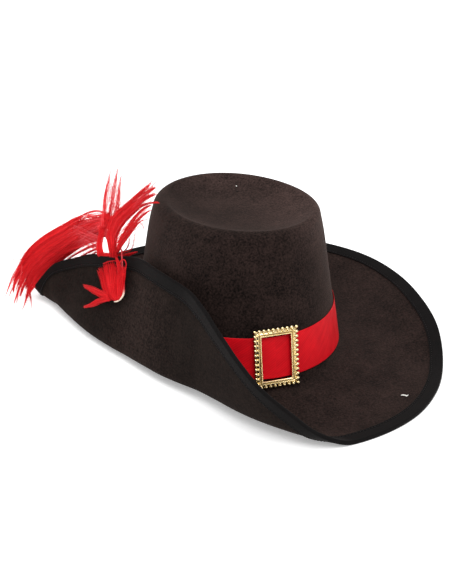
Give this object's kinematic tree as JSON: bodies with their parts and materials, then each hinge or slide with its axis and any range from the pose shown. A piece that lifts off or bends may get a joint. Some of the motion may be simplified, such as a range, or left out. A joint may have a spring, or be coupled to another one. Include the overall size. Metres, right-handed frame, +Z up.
{
  "type": "cavalier hat",
  "caption": "Wide-brimmed black felt cavalier hat with a tapered dished crown, one side of the brim turned up, a red band, a gilt buckle and a red plume.",
  "frame": {"origin": "centre of the head opening, on the surface the hat rests on", "axes": "+Z up, -Y to the front (the buckle), -X to the turned-up side of the brim, which is the wearer's right"},
  "size_m": [0.3548, 0.3938, 0.1725],
  "materials": {
    "black_felt": "flocked felt, matt",
    "black_tape": "velvet tape, matt",
    "red_ribbon": "woven ribbon, low sheen",
    "gold_plate": "bright plated",
    "pale_quill": "horn, low sheen",
    "red_plume": "feather, matt"
  },
  "bodies": {
    "root": {"hat_body": "black_felt", "brim_binding": "black_tape", "hat_band": "red_ribbon", "buckle": "gold_plate", "plume_quill": "pale_quill", "plume_vane": "red_plume", "plume_spray": "red_plume", "plume_crest": "red_plume", "plume_tuft": "red_plume"}
  },
  "joints": []
}
